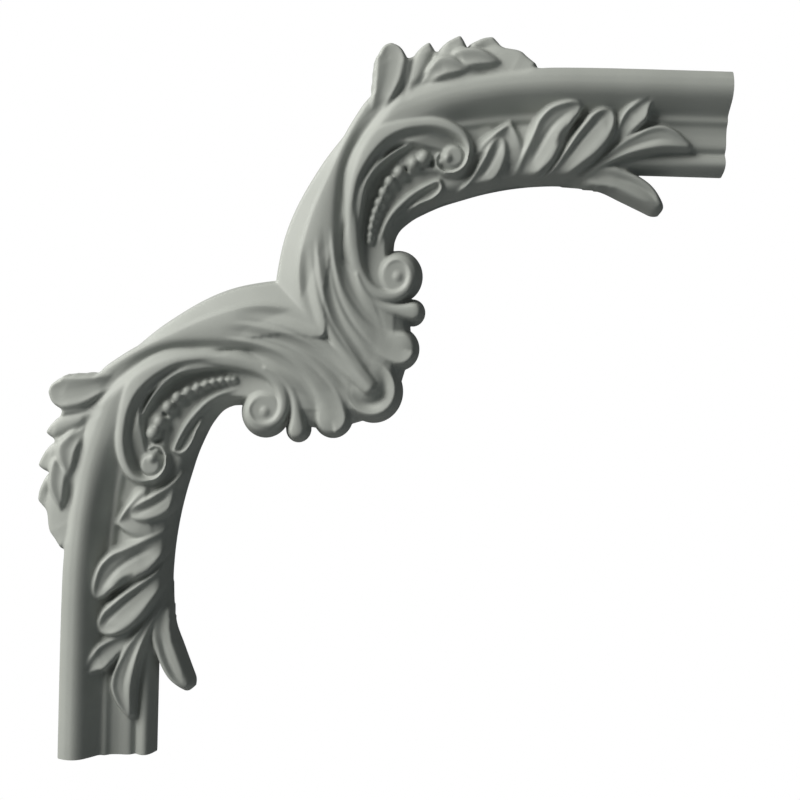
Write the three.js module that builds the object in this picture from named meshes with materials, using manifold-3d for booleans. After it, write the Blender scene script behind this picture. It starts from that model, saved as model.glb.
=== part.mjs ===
// Panel moulding corner: a cast applique that turns a straight panel moulding round a corner.
// Two mirrored moulding arms bend inwards, roll into scrolls and meet in a fluted shell.
// The piece hangs on a wall: X runs right, Z runs up, the flat back is the plane Y = 0 and the
// carving faces -Y. The origin is on the back, behind the body, on the mirror line.
//
// The carving is a relief: at each place (a, b) it has one height over the back. a and b are shares
// of the reach, a along the upper arm and b down from its outer edge. The lower arm is the same
// relief with a and b exchanged. Heights are shares of the projection.

import * as THREE from 'three';
import { mergeVertices } from 'three/addons/utils/BufferGeometryUtils.js';
import Module from 'manifold-3d';

const wasm = await Module();
wasm.setup();

// driving dimensions, millimetres
const reach = 300;           // outer corner to the cut end of an arm
const mouldingWidth = 44.2;  // outer edge to inner edge of a straight arm
const projection = 19;       // back to the crest of the moulding

// the horizontal arm is a little shorter than the upright one, as the photograph shows it
const acrossShare = 0.932;

const originShare = 0.40;    // the origin's distance along a and b

// how finely the relief is worked out
const cellsPerReach = 240;
const cells = 256;
const cell = 1 / cellsPerReach;
const low = 1 - (cells - 1) * cell;  // one grid line beyond the cut ends
const points = cells + 1;
const tolerance = 0.75;      // mm that a face may depart from the relief
const outlineTolerance = 0.3;
const softenings = 1;
const margin = 3 * cell;     // how far outside a feature its distance is still known
const noSurface = -0.2;      // the height where nothing stands
const wallRun = 0.009;       // run of a leaning wall from its foot to its full height
const carried = 5;           // grid steps that the tops are carried out past the outline

// section of the moulding: share of its width from the outer edge, share of the projection
const section = [
  [0.0, 0.66], [0.05, 0.80], [0.12, 0.94], [0.19, 1.0], [0.27, 0.95], [0.34, 0.80], [0.40, 0.62],
  [0.44, 0.53], [0.475, 0.53], [0.50, 0.50], [0.54, 0.44], [0.62, 0.42], [0.72, 0.43], [0.765, 0.40],
  [0.79, 0.35], [0.83, 0.42], [0.88, 0.46], [0.93, 0.43], [0.97, 0.34], [1.0, 0.2],
];
const wide = mouldingWidth / reach;
const crest = 0.183 * wide;  // from the outer edge to the crest
const crestLine = [
  [1.06, crest], [.80, crest], [.70, crest], [.63, .030], [.575, .037], [.53, .049], [.49, .068],
  [.460, .095], [.441, .125], [.430, .16], [.425, .20], [.426, .25], [.434, .29],
];
// along the crest line: how far the inner side has filled out, its width there, and the height
const bend = [0, 0, 0, 0, 0, .05, .6, 1, 1, 1, 1];
const bendWidth = [.3, .3, .3, .3, .3, .2, .13, .08, .045, .030, .020, .015];
const bendHeight = [1, 1, 1, 1, 1, 1, 1, .99, .98, .95, .80, .5];

// the inner edge of the body, from the shell's notch to the drop-shaped leaf
const innerEdge = [
  [.490, .300], [.4945, .268], [.4965, .252], [.504, .237], [.519, .224], [.534, .215], [.565, .201],
  [.596, .191], [.627, .182], [.658, .175], [.689, .170], [.720, .167], [.751, .166], [.782, .1685],
];

// sections across a leaf, from one edge to the other: shares of its height
const gouge = [.90, 1.0, .72, .52, .58, .72, .86, 1.0, .94];
const scoop = [.85, 1.0, .84, .72, .74, .80, .86, .88];
const spoon = [.94, 1.0, .95, .91, .92, .96, 1.0, .92];
const convex = [.84, .96, 1.0, 1.0, .94, .82];
const pad = [.90, .90, .93, .97, 1.0];

const clamp = (value, lowest, highest) => Math.min(Math.max(value, lowest), highest);
const widest = (...widths) => Math.max(...widths.flat());

// the share of its full height that a leaning, round-shouldered wall has reached
const shoulder = (inside, lean) => 1 - (1 - clamp(inside / lean, 0, 1)) ** 2.2;

// a number, or a smooth curve through a list of numbers, at a share of its run
function along(values, share) {
  if (typeof values === 'number') return values;
  const last = values.length - 1;
  const place = clamp(share, 0, 1) * last;
  const k = Math.min(Math.floor(place), last - 1);
  const t = place - k;
  const [p0, p1] = [values[Math.max(k - 1, 0)], values[k]];
  const [p2, p3] = [values[k + 1], values[Math.min(k + 2, last)]];
  return 0.5 * (2 * p1 + (p2 - p0) * t + (2 * p0 - 5 * p1 + 4 * p2 - p3) * t * t
    + (3 * p1 - p0 - 3 * p2 + p3) * t ** 3);
}

// a guide line: short straight steps along a smooth curve through the places
function guide(places) {
  const count = 10 * (places.length - 1);
  const [as, bs] = [places.map((p) => p[0]), places.map((p) => p[1])];
  const line = [];
  for (let i = 0; i <= count; i++) {
    line.push([along(as, i / count), along(bs, i / count)]);
  }
  let length = 0;
  const starts = [0];
  for (let i = 0; i < count; i++) {
    length += Math.hypot(line[i + 1][0] - line[i][0], line[i + 1][1] - line[i][1]);
    starts.push(length);
  }
  return { line, starts, length };
}

// the nearest place on a guide line: its share of the run, the distance, and the side
function nearest({ line, starts, length }, a, b) {
  let best = Infinity;
  let share = 0;
  let side = 1;
  for (let k = 0; k < line.length - 1; k++) {
    const [dx, dy] = [line[k + 1][0] - line[k][0], line[k + 1][1] - line[k][1]];
    const [px, py] = [a - line[k][0], b - line[k][1]];
    const step = Math.hypot(dx, dy);
    const t = clamp((px * dx + py * dy) / step ** 2, 0, 1);
    const gap = (px - t * dx) ** 2 + (py - t * dy) ** 2;
    if (gap < best) {
      best = gap;
      share = (starts[k] + t * step) / length;
      side = dy * px - dx * py >= 0 ? 1 : -1;
    }
  }
  return { share, distance: Math.sqrt(best), side };
}

// heights and distances inside the outline at the grid points of one half, where b <= a
class Relief {
  constructor() {
    this.heights = new Float64Array(points * points).fill(noSurface);
    this.insides = new Float64Array(points * points).fill(-margin);
  }

  // visits the grid points within a width of some places
  visit(places, width, change) {
    const span = (k) => {
      const values = places.map((p) => p[k]);
      const first = Math.ceil((Math.min(...values) - width - margin - low) / cell);
      const last = Math.floor((Math.max(...values) + width + margin - low) / cell);
      return [Math.max(first, 0), Math.min(last, cells)];
    };
    const [[i0, i1], [j0, j1]] = [span(0), span(1)];
    for (let i = i0; i <= i1; i++) {
      for (let j = j0; j <= Math.min(i, j1); j++) {
        change(low + i * cell, low + j * cell, i * points + j);
      }
    }
  }

  // keeps the higher surface, with a fillet of the blend's size where two meet
  join(m, height, inside, blend = 0) {
    const old = this.heights[m];
    const fresh = inside > 0 ? height : noSurface;
    const over = Math.min(old, fresh) > -0.1 ? Math.max(blend - Math.abs(old - fresh), 0) : 0;
    this.heights[m] = Math.max(old, fresh) + (blend > 0 ? over ** 2 / (4 * blend) : 0);
    this.insides[m] = Math.max(this.insides[m], inside);
  }

  // a roll along a line, highest on the line, with its own width and fall on each side
  band(places, left, right, height, fallLeft = 0.3, fallRight = 0.3, soft = {}) {
    const { lean = wallRun, blend = 0.02 } = soft;
    const line = guide(places);
    this.visit(places, widest(left, right), (a, b, m) => {
      const { share, distance, side } = nearest(line, a, b);
      const half = along(side > 0 ? left : right, share);
      const fall = along(side > 0 ? fallLeft : fallRight, share);
      const crown = along(height, share) * (1 - fall * Math.min(distance / half, 1) ** 2);
      const inside = half - distance;
      this.join(m, crown * shoulder(inside, lean), inside, blend);
    });
  }

  // a surface on the left of an edge, with its own width and section across
  border(edge, width, height, across, lean) {
    const line = guide(edge);
    this.visit(edge, widest(width), (a, b, m) => {
      const { share, distance, side } = nearest(line, a, b);
      const reachIn = along(width, share);
      const surface = along(height, share) * along(across, Math.min(distance / reachIn, 1));
      const inside = side > 0 ? Math.min(distance, reachIn - distance) : -distance;
      this.join(m, surface * shoulder(distance, lean), inside);
    });
  }

  // a round lobe with a leaning wall
  disc(centre, radius, height, lean) {
    this.visit([centre], radius, (a, b, m) => {
      const inside = radius - Math.hypot(a - centre[0], b - centre[1]);
      this.join(m, height * shoulder(inside, lean), inside, 0.02);
    });
  }

  // a leaf laid over what is there, between edges that start apart at its root and meet at its tip
  blade(left, right, height, across, lean = 0.8 * wallRun) {
    const [one, two] = [guide(left), guide(right)];
    this.visit([...left, ...right], 0, (a, b, m) => {
      const [l, r] = [nearest(one, a, b), nearest(two, a, b)];
      const within = l.side < 0 && r.side > 0 && (l.share > 0 || r.share > 0);
      const inside = (within ? 1 : -1) * Math.min(l.distance, r.distance);
      if (within) {
        const over = l.distance / (l.distance + r.distance + 1e-9);
        const share = l.share + (r.share - l.share) * over;
        const surface = along(height, share) * along(across, over);
        const risen = shoulder(inside, lean) * THREE.MathUtils.smoothstep(share, 0, 0.25);
        const under = Math.max(this.heights[m], 0);
        this.heights[m] = under + (surface - under) * risen;
      }
      this.insides[m] = Math.max(this.insides[m], inside);
    });
  }

  // cuts everything off on the right of an edge, with a leaning wall
  trim(edge, lean) {
    const line = guide(edge);
    this.visit(edge, 0.02, (a, b, m) => {
      const { share, distance, side } = nearest(line, a, b);
      if (share <= 0 || share >= 1) return;
      const old = this.heights[m];
      if (old > 0) this.heights[m] = side > 0 ? old * shoulder(distance, lean) : noSurface;
      this.insides[m] = Math.min(this.insides[m], side * distance);
    });
  }

  // a round pearl
  pearl(centre, radius, top) {
    this.visit([centre], radius, (a, b, m) => {
      const distance = Math.hypot(a - centre[0], b - centre[1]);
      const fall = 1 - Math.sqrt(1 - Math.min(distance / radius, 1) ** 2);
      this.join(m, top - fall * radius * reach / projection, radius - distance);
    });
  }

  // sinks a soft furrow along a line
  groove(places, width, depth) {
    const line = guide(places);
    this.visit(places, 2 * widest(width), (a, b, m) => {
      const { share, distance } = nearest(line, a, b);
      this.heights[m] -= along(depth, share) * Math.exp(-((distance / along(width, share)) ** 2));
    });
  }
}

// the straight moulding, which fills out and narrows where it bends down into the shell
function moulding(relief) {
  const line = guide(crestLine);
  const straightAt = (place) => {
    const k = clamp(section.findIndex(([end]) => end > place), 1, section.length - 1);
    const [[x0, y0], [x1, y1]] = [section[k - 1], section[k]];
    return y0 + (y1 - y0) * clamp((place - x0) / (x1 - x0), 0, 1);
  };
  relief.visit(crestLine, wide, (a, b, m) => {
    const { share, distance, side } = nearest(line, a, b);
    if (share > 0.999) return;
    const fromEdge = side * distance + crest;
    const straight = straightAt(fromEdge / wide);
    const filled = 1 - 2.4 * distance;
    const bent = side > 0 ? along(bend, share) : 0;
    const inside = Math.min(fromEdge, wide - fromEdge, along(bendWidth, share) - side * distance);
    const height = (straight + (filled - straight) * bent) * along(bendHeight, share);
    relief.join(m, height * shoulder(inside, 0.6 * wallRun), inside);
  });
}

// the ground under the carving, out to the inner edge and the lobes of the shell
function ground(relief) {
  relief.border(innerEdge, [.05, .06, .07, .08, .09, .09, .09, .08, .06, .05, .04],
    [.38, .40, .40, .40, .36], 1, .0135);
  relief.band([[.620, .110], [.570, .115], [.525, .118], [.49, .13], [.465, .155], [.455, .20], [.46, .26],
    [.465, .32], [.47, .37], [.46, .41]], [.030, .030, .03, .04, .04, .03, .03, .035, .04], .035,
    [.40, .48, .48, .40, .34, .33, .34, .36, .40, .44], 0, 0, { blend: 0 });
  relief.band([[.475, .055], [.445, .085], [.415, .14], [.395, .20], [.385, .26], [.385, .31], [.40, .36],
    [.43, .40]], [.012, .02, .028, .028, .03, .04, .04, .04], [.01, .015, .02, .03, .04, .045, .05],
    [.60, .74, .84, .90, .90, .86, .76, .50], .1, .1, { blend: .04 });
  relief.band([[.475, .035], [.515, .010], [.560, -.004], [.620, -.006], [.660, .005]], .018, .018, .55,
    .1, .1);
}

// the smooth strip from the spoon-shaped leaf down to the cusp
function strip(relief) {
  const outerEdge = [[.4545, .030], [.4515, .052], [.438, .074], [.408, .109], [.379, .147], [.347, .200],
    [.327, .248], [.316, .300], [.312, .345], [.312, .38]];
  relief.border(outerEdge, [.036, .030, .026, .028, .036, .052, .064, .066, .068, .072],
    [.80, .82, .86, .92, .97, 1.0, 1.0, 1.0], [.45, .58, .71, .83, .93, 1.0, .99, .95, .90], .006);
}

// the flutes that run from the strip to the lobes of the shell
function flutes(relief) {
  relief.disc([.4700, .4700], .0455, .58, .012);
  relief.band([[.375, .25], [.390, .30], [.410, .35], [.440, .40], [.465, .44]], [.03, .05, .06, .055, .04],
    [.035, .035, .045, .05, .05], [.86, .82, .72, .58, .50], .15, .15, { blend: .04 });
  relief.band([[.470, .340], [.490, .365], [.495, .400], [.480, .440]], .03, .03, .40, 0, 0);
  relief.band([[.378, .22], [.379, .26], [.383, .30], [.391, .345], [.403, .380], [.422, .412],
    [.443, .438], [.462, .462]],
    [.008, .009, .010, .012, .014, .018, .018, .018], [.012, .012, .014, .016, .018, .020],
    [.80, .88, .92, .90, .86, .82, .83, .86], .12, .12, { blend: .04 });
  relief.band([[.396, .21], [.398, .25], [.404, .29], [.416, .325], [.432, .355], [.452, .380], [.473, .397],
    [.492, .405], [.508, .408]], [.010, .012, .014, .016, .018, .022, .024, .027, .031],
    [.012, .012, .014, .016, .018, .022, .024, .027, .031], [.88, .93, .90, .84, .76, .68, .62, .58, .56],
    .15, [.2, .2, .2, .1, 0, -.2, -.3], { lean: .012, blend: .04 });
  relief.band([[.440, .305], [.449, .325], [.464, .340], [.485, .350], [.508, .354], [.527, .355]],
    [.010, .012, .013, .014, .016, .0195], [.010, .012, .013, .014, .016, .0195],
    [.80, .74, .68, .63, .61, .60], .25, .25, { lean: .012 });
  relief.groove([[.384, .235], [.386, .27], [.392, .305], [.401, .34], [.413, .37], [.430, .395],
    [.452, .42], [.475, .437]], .005, [0, .08, .11, .11, .09, .08, .06, 0]);
  relief.groove([[.365, .27], [.367, .31], [.372, .34], [.379, .365], [.3865, .3865]],
    [.006, .008, .008, .006], [0, .08, .12, .14, .14]);
}

// the scroll over the arm and the scroll at the shell, with the thin roll inside them
function scrolls(relief) {
  relief.disc([.5035, .3035], .0375, .52, .013);
  relief.band([[.428, .21], [.429, .24], [.432, .27], [.441, .297], [.456, .318], [.475, .330], [.496, .332],
    [.513, .323], [.5195, .307], [.515, .291], [.501, .283], [.488, .289], [.484, .301], [.490, .312]],
    [.010, .012, .013, .014, .014, .013, .012, .011, .010, .009, .009, .008, .007, .006],
    [.018, .019, .021, .023, .022, .020, .017, .016, .016, .015, .013, .010, .008, .006],
    [.93, .93, .91, .87, .82, .77, .73, .71, .70, .69, .68, .66, .64, .62], .30, .30);
  relief.pearl([.503, .309], .011, .66);
  relief.disc([.577, .1365], .021, .60, .010);
  relief.band([[.428, .24], [.430, .20], [.440, .16], [.458, .126], [.480, .105], [.510, .091], [.545, .086],
    [.575, .092], [.593, .106], [.600, .125], [.597, .143], [.585, .1535], [.570, .155], [.558, .146],
    [.555, .133], [.563, .1235]],
    [.020, .020, .020, .020, .018, .016, .015, .016, .018, .018, .017, .014, .012, .010, .009, .008],
    [.012, .012, .014, .016, .018, .019, .017, .013, .011, .010, .010, .010, .009, .008, .007, .006],
    [.93, .94, .95, .95, .93, .90, .86, .83, .81, .80, .79, .78, .77, .76, .75, .74],
    [.1, .1, .12, .15, .2, .3, .4, .4], [.15, .15, .2, .35, .35]);
  relief.band([[.434, .225], [.440, .195], [.449, .171], [.463, .152], [.480, .138], [.50, .127],
    [.52, .120], [.54, .117]], .012, [.013, .013, .012, .011, .010, .008],
    [.86, .89, .89, .87, .83, .76, .66, .54], .1, .3);
  relief.groove([[.448, .162], [.460, .146], [.474, .133], [.490, .122], [.508, .114], [.53, .109],
    [.55, .108]], [.003, .0035, .004, .005, .005], [0, .06, .10, .10, .08, .04, 0]);
}

// the deep furrow between the strip and the scroll
function mainGroove(relief) {
  relief.groove([[.500, .037], [.477, .063], [.455, .088], [.436, .117], [.422, .145], [.412, .175],
    [.406, .205], [.405, .24], [.409, .275], [.419, .305], [.433, .335], [.450, .357], [.470, .373],
    [.49, .385]],
    [.006, .008, .009, .009, .009, .009, .010, .010, .009, .009],
    [.1, .22, .28, .30, .32, .34, .35, .35, .32, .28, .24, .18, .12, .05]);
}

// pearls of falling size on a ledge inside the channel
function pearls(relief) {
  relief.band([[.560, .153], [.530, .154], [.508, .165], [.493, .180], [.482, .197], [.474, .216],
    [.468, .238], [.464, .265]], .010, .012, [.45, .50, .50, .48, .45, .40, .35, .30], .3, .3);
  const row = [[.537, .138], [.497, .163], [.4725, .196], [.459, .228], [.4555, .257]];
  const [as, bs] = [row.map((p) => p[0]), row.map((p) => p[1])];
  for (let k = 0; k <= 8; k++) {
    relief.pearl([along(as, k / 8), along(bs, k / 8)], .0112 * .89 ** k, .68 * .94 ** k);
  }
}

// the roll along the inner edge, with its small hook
function innerRim(relief) {
  relief.band([[.470, .290], [.471, .265], [.478, .240], [.488, .221], [.501, .206], [.516, .193],
    [.534, .181], [.550, .172], [.561, .168]],
    [.008, .009, .010, .011, .011, .010, .009], [.010, .011, .011, .011, .010],
    [.42, .46, .52, .56, .58, .60, .61, .62, .62], .3, .3);
  relief.band([[.561, .168], [.565, .178], [.559, .188], [.548, .196], [.534, .201], [.518, .208]],
    .009, .009, [.62, .62, .60, .58, .55, .48], .3, .3);
  relief.groove([[.520, .196], [.533, .188], [.545, .180]], .006, [.08, .16, .08]);
}

// the middle lobe of the shell: a knob in a hollow with a curled rim
function centreLobe(relief) {
  const arc = (x, y, radius) => [-85, -52, -20, 12, 45].map((degrees) => {
    const turned = THREE.MathUtils.degToRad(degrees);
    return [x + radius * Math.cos(turned), y + radius * Math.sin(turned)];
  });
  relief.band(arc(.466, .466, .036), .009, .009, [.58, .60, .62, .63], .3, .3);
  relief.groove(arc(.463, .463, .024), .008, [.02, .08, .18, .22]);
  relief.band([[.41, .41], [.435, .435], [.452, .452], [.462, .462]], .018, .018, [.72, .76, .80, .80],
    .3, .3, { blend: .06 });
}

// the leaves along the inner side of the arm, from the scroll to the cut end
function leaves(relief) {
  relief.blade([[.600, .145], [.615, .115], [.635, .099], [.652, .088], [.669, .079]],
    [[.678, .165], [.692, .145], [.691, .122], [.684, .104], [.677, .091], [.669, .079]],
    [.46, .58, .64, .66], scoop);
  relief.blade([[.572, .190], [.592, .178], [.608, .160], [.620, .138], [.633, .118], [.644, .108],
    [.654, .105]],
    [[.622, .184], [.645, .172], [.659, .154], [.665, .134], [.664, .119], [.660, .109], [.654, .105]],
    [.54, .64, .72, .74], gouge);
  relief.blade([[.664, .170], [.676, .147], [.685, .122], [.696, .094], [.704, .076], [.722, .059],
    [.748, .051], [.768, .052], [.779, .060]],
    [[.690, .175], [.715, .158], [.735, .140], [.745, .122], [.752, .105], [.762, .088], [.772, .074],
      [.779, .060]], [.50, .62, .70, .76, .82, .86, .84], gouge);
  relief.blade([[.695, .172], [.728, .147], [.747, .120], [.760, .098], [.775, .078], [.790, .064],
    [.808, .058], [.825, .061]],
    [[.742, .172], [.775, .148], [.800, .130], [.817, .112], [.827, .092], [.829, .075], [.825, .061]],
    [.46, .60, .72, .78, .82, .82, .78], gouge);
  relief.blade([[.800, .130], [.820, .103], [.828, .077], [.838, .059], [.855, .0485], [.870, .0455],
    [.878, .0455]],
    [[.830, .120], [.850, .101], [.868, .086], [.877, .076], [.880, .062], [.8805, .050], [.878, .0455]],
    [.50, .64, .76, .84, .86], gouge);
  relief.blade([[.755, .162], [.795, .137], [.825, .112], [.850, .095], [.875, .082], [.900, .078],
    [.922, .086], [.938, .098], [.947, .108], [.944, .1165]],
    [[.765, .172], [.800, .150], [.830, .135], [.860, .126], [.900, .119], [.930, .1175], [.944, .1165]],
    [.42, .56, .68, .70, .68, .60], gouge);
  relief.trim(innerEdge.slice(5), .0135);
  relief.blade([[.765, .160], [.795, .145], [.820, .137], [.848, .140], [.872, .149], [.892, .162],
    [.905, .178], [.911, .193], [.903, .2055]],
    [[.752, .167], [.782, .1685], [.813, .173], [.845, .186], [.876, .199], [.892, .2055], [.903, .2055]],
    [.38, .50, .58, .60, .58, .52], scoop, .012);
}

// the spoon-shaped leaf and the leaves that stand over the outer edge
function cluster(relief) {
  relief.blade([[.590, .005], [.600, -.028], [.612, -.038], [.625, -.043], [.639, -.0445]],
    [[.650, .010], [.660, -.010], [.654, -.028], [.639, -.0445]], [.66, .64, .60, .54], convex);
  relief.blade([[.545, .010], [.552, -.015], [.562, -.030], [.575, -.039], [.589, -.0455]],
    [[.590, .010], [.600, -.012], [.599, -.030], [.589, -.0455]], [.72, .70, .64, .58], convex);
  relief.blade([[.498, .060], [.508, .030], [.513, .000], [.520, -.017], [.530, -.027], [.542, -.0335]],
    [[.525, .040], [.541, .018], [.549, .000], [.552, -.018], [.542, -.0335]], [.84, .84, .80, .70], convex);
  relief.blade([[.452, .070], [.4545, .035], [.4555, .010], [.461, -.011], [.470, -.024], [.483, -.0295]],
    [[.476, .070], [.494, .048], [.504, .030], [.509, .008], [.508, -.010], [.498, -.023], [.483, -.0295]],
    [.84, .86, .84, .80], spoon);
  relief.blade([[.600, -.020], [.640, -.028], [.668, -.026], [.683, -.022], [.694, -.013], [.712, .001]],
    [[.600, .025], [.650, .020], [.690, .015], [.712, .001]], [.62, .68, .74, .80],
    [.85, .95, 1.0, 1.03, 1.05]);
  relief.blade([[.570, -.002], [.580, -.018], [.600, -.0215], [.620, -.0195], [.638, -.010], [.652, .001]],
    [[.585, .016], [.610, .010], [.635, .0075], [.652, .001]], [.80, .88, .92, .92], pad);
  relief.blade([[.525, .028], [.542, .004], [.556, -.008], [.574, -.0075], [.590, .001], [.605, .013]],
    [[.540, .036], [.565, .028], [.585, .022], [.605, .013]], [.90, .95, 1.0, 1.0], pad);
}

const features = [
  moulding, ground, strip, flutes, scrolls, mainGroove, pearls, innerRim, centreLobe, leaves, cluster,
];

// a grid of values in which each chosen point takes the highest value of its neighbourhood
function spread(values, chosen, rounds) {
  if (rounds < 1) return values;
  const spreading = Float64Array.from(values);
  for (let i = 1; i < cells; i++) {
    for (let j = 1; j < cells; j++) {
      const m = i * points + j;
      if (!chosen(m)) continue;
      const around = [m - 1, m + 1, m - points, m + points, m - points - 1, m + points + 1];
      spreading[m] = Math.max(values[m], ...around.map((n) => values[n]));
    }
  }
  return spread(spreading, chosen, rounds - 1);
}

// carries the tops out past the outline, so that the wall over the outline is cut upright
function carryOut(heights, insides) {
  const outside = insides.map((inside) => Number(inside <= 0));
  const rim = spread(outside, () => true, Math.ceil(wallRun / cell));
  return spread(heights, (m) => rim[m] > 0, carried);
}

// height in mm and distance inside the outline, at every grid point of one half and its mirror
function workOut() {
  const relief = new Relief();
  features.forEach((feature) => feature(relief));
  const heights = new Float64Array(points * points);
  const insides = new Float64Array(points * points);
  for (let i = 0; i < points; i++) {
    for (let j = 0; j <= i; j++) {
      const m = i * points + j;
      for (const place of [m, j * points + i]) {
        heights[place] = Math.max(relief.heights[m], 0.05);
        insides[place] = relief.insides[m];
      }
    }
  }
  const soft = soften(carryOut(heights, insides), softenings);
  const top = soft.reduce((highest, height) => Math.max(highest, height), 0);
  const toCutEnd = (m) => 1 - low - cell * Math.max(m % points, Math.floor(m / points));
  return {
    heights: soft.map((height) => height / top * projection),
    insides: insides.map((inside, m) => Math.min(inside, toCutEnd(m))),
  };
}

// rounds the carving as a cast does: each height becomes a weighted mean of its neighbourhood
function soften(heights, rounds) {
  if (rounds === 0) return heights;
  const softer = Float64Array.from(heights);
  for (let i = 1; i < cells; i++) {
    for (let j = 1; j < cells; j++) {
      const m = i * points + j;
      const sides = heights[m - 1] + heights[m + 1] + heights[m - points] + heights[m + points];
      const corners = heights[m - points - 1] + heights[m - points + 1] + heights[m + points - 1]
        + heights[m + points + 1];
      softer[m] = (4 * heights[m] + 2 * sides + corners) / 16;
    }
  }
  return soften(softer, rounds - 1);
}

// Right triangles are written as two ends of the long edge and the corner opposite it.
const middle = ([a, b]) => [(a[0] + b[0]) / 2, (a[1] + b[1]) / 2];
const splits = ([a, , c]) => Math.abs(a[0] - c[0]) + Math.abs(a[1] - c[1]) > 1;
const halves = ([a, b, c]) => [[c, a, middle([a, b])], [b, c, middle([a, b])]];
const at = ([i, j]) => i * points + j;

// how far each middle of a long edge departs from the relief, with all that lies under it
function departures(heights, insides) {
  const tree = [[[0, 0], [cells, cells], [cells, 0]]];
  for (let i = 0; i < tree.length; i++) {
    if (splits(tree[i])) tree.push(...halves(tree[i]));
  }
  const errors = new Float64Array(points * points);
  for (const triangle of tree.filter(splits).reverse()) {
    const [a, b] = triangle;
    const m = at(middle(triangle));
    const gap = Math.abs(heights[m] - (heights[at(a)] + heights[at(b)]) / 2);
    if (insides[m] > -2 * cell) errors[m] = Math.max(errors[m], gap);
    for (const half of halves(triangle).filter(splits)) {
      errors[m] = Math.max(errors[m], errors[at(middle(half))]);
    }
  }
  return errors;
}

// the front surface of one half, with large faces where it is smooth
function frontTriangles(heights, insides) {
  const errors = departures(heights, insides);
  const kept = [];
  const walk = (triangle) => {
    if (splits(triangle) && errors[at(middle(triangle))] > tolerance) {
      halves(triangle).forEach(walk);
    } else {
      kept.push(triangle);
    }
  };
  walk([[0, 0], [cells, cells], [cells, 0]]);
  return kept;
}

// a grid point in millimetres from the origin: along the arm and up
function placeOf([i, j]) {
  return [(low + i * cell - originShare) * reach * acrossShare, (originShare - low - j * cell) * reach];
}

// a closed slab: the front surface of both halves over a flat underside well behind the back
function reliefSlab(heights, insides) {
  const half = frontTriangles(heights, insides);
  const swap = ([i, j]) => [j, i];
  const mirrored = half.map(([a, b, c]) => [swap(c), swap(b), swap(a)]);
  const faces = [...half, ...mirrored];
  const numbers = new Map();
  const positions = [];
  const number = (place, front) => {
    const key = `${place} ${front}`;
    if (!numbers.has(key)) {
      numbers.set(key, numbers.size);
      positions.push(...placeOf(place), front ? heights[at(place)] : -projection);
    }
    return numbers.get(key);
  };
  const triangles = [];
  const open = new Set();
  for (const face of faces) {
    triangles.push(...face.map((place) => number(place, true)));
    triangles.push(...[...face].reverse().map((place) => number(place, false)));
    face.forEach((place, k) => {
      const next = face[(k + 1) % 3];
      if (!open.delete(`${next}|${place}`)) open.add(`${place}|${next}`);
    });
  }
  for (const edge of open) {
    const [from, to] = edge.split('|').map((text) => text.split(',').map(Number));
    triangles.push(number(to, true), number(from, true), number(from, false));
    triangles.push(number(to, true), number(from, false), number(to, false));
  }
  return new wasm.Manifold(new wasm.Mesh({
    numProp: 3, vertProperties: new Float32Array(positions), triVerts: new Uint32Array(triangles),
  }));
}

// the outline: where the distance inside passes zero, as one closed line of places
function outline(insides) {
  const next = new Map();
  const spots = new Map();
  const crossing = (p, q) => {
    const key = [p, q].map(String).sort().join('|');
    const [u, v] = [insides[at(p)], insides[at(q)]];
    const t = u / (u - v);
    const [x, y] = [placeOf(p), placeOf(q)];
    spots.set(key, new THREE.Vector2(x[0] + (y[0] - x[0]) * t, x[1] + (y[1] - x[1]) * t));
    return key;
  };
  for (let i = 0; i < cells; i++) {
    for (let j = 0; j < cells; j++) {
      for (const corners of [[[i, j], [i + 1, j], [i + 1, j + 1]], [[i, j], [i + 1, j + 1], [i, j + 1]]]) {
        const inside = corners.map((corner) => insides[at(corner)] > 0);
        if (inside[0] === inside[1] && inside[1] === inside[2]) continue;
        const ends = [0, 1, 2].filter((k) => inside[k] !== inside[(k + 1) % 3]);
        const [leave, enter] = inside[ends[0]] ? ends : [...ends].reverse();
        const cut = (k) => crossing(corners[k], corners[(k + 1) % 3]);
        next.set(cut(leave), cut(enter));
      }
    }
  }
  const begin = next.keys().next().value;
  const loop = [];
  for (let key = begin; next.has(key) && (loop.length === 0 || key !== begin); key = next.get(key)) {
    loop.push(spots.get(key));
  }
  return loop;
}

// drops the points that lie within a distance of the line through their neighbours
function simplified(line, distance) {
  const [first, last] = [line[0], line[line.length - 1]];
  const along = last.clone().sub(first);
  let worst = 0;
  let index = 0;
  line.forEach((p, k) => {
    const away = Math.abs(along.cross(p.clone().sub(first))) / Math.max(along.length(), 1e-9);
    const gap = along.length() < 1e-9 ? p.distanceTo(first) : away;
    if (gap > worst) [worst, index] = [gap, k];
  });
  if (worst <= distance) return [first, last];
  const [before, after] = [line.slice(0, index + 1), line.slice(index)];
  return [...simplified(before, distance).slice(0, -1), ...simplified(after, distance)];
}

function toManifold(geometry) {
  geometry.deleteAttribute('normal');
  geometry.deleteAttribute('uv');
  const merged = mergeVertices(geometry, 1e-5);
  return new wasm.Manifold(new wasm.Mesh({
    numProp: 3,
    vertProperties: new Float32Array(merged.attributes.position.array),
    triVerts: new Uint32Array(merged.index.array),
  }));
}

function toGeometry(solid) {
  const { vertProperties, triVerts } = solid.getMesh();
  const geometry = new THREE.BufferGeometry();
  geometry.setAttribute('position', new THREE.BufferAttribute(vertProperties, 3));
  geometry.setIndex(new THREE.BufferAttribute(triVerts, 1));
  geometry.computeVertexNormals();
  return geometry;
}

// the casting: the relief slab inside the upright wall over the outline
function casting() {
  const { heights, insides } = workOut();
  const loop = outline(insides);
  const edge = new THREE.Shape(simplified([...loop, loop[0]], outlineTolerance).slice(0, -1));
  const block = new THREE.ExtrudeGeometry(edge, { depth: 2 * projection, bevelEnabled: false });
  return toGeometry(toManifold(block).intersect(reliefSlab(heights, insides)));
}

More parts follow.
